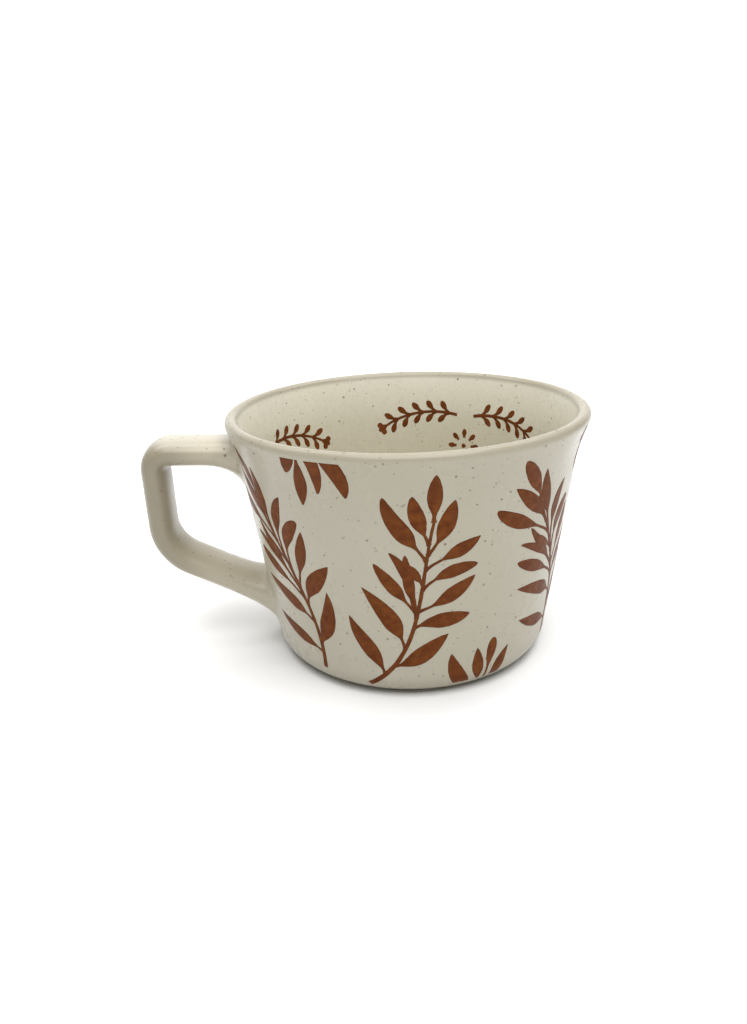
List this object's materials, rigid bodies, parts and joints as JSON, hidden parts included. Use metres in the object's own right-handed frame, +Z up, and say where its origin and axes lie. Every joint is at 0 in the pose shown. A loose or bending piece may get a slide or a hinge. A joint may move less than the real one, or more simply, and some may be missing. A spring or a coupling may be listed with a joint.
{
  "type": "mug",
  "caption": "Wide flared stoneware mug with a squared strap handle, cream glaze and brown leaf-sprig prints inside and out; holds a hot drink.",
  "frame": {"origin": "on the cup's axis at the plane the foot ring rests on", "axes": "+Z up along the cup's axis, -X towards the handle, so the handle lies in the XZ plane"},
  "size_m": [0.1429, 0.115, 0.08],
  "materials": {
    "clay": "bare fired stoneware, matt and slightly gritty",
    "glazed_strap": "speckled cream glaze over stoneware, satin gloss",
    "glaze": "speckled cream glaze, satin gloss",
    "print": "fired brown print, slightly mottled, satin"
  },
  "bodies": {
    "root": {"clay_body": "clay", "handle": "glazed_strap", "upper_slip_joint": "glazed_strap", "lower_slip_joint": "glazed_strap", "outside_glaze": "glaze", "inside_glaze": "glaze", "base_glaze": "glaze", "sprig_1": "print", "sprig_2": "print", "sprig_3": "print", "sprig_4": "print", "sprig_5": "print", "sprig_6": "print", "hanging_sprig_1": "print", "hanging_sprig_2": "print", "hanging_sprig_3": "print", "rising_sprig_1": "print", "rising_sprig_2": "print", "rising_sprig_3": "print", "garland_left_1": "print", "garland_left_2": "print", "garland_left_3": "print", "garland_left_4": "print", "garland_right_1": "print", "garland_right_2": "print", "garland_right_3": "print", "garland_right_4": "print", "flower_1": "print", "flower_2": "print", "flower_3": "print", "flower_4": "print"}
  },
  "joints": []
}
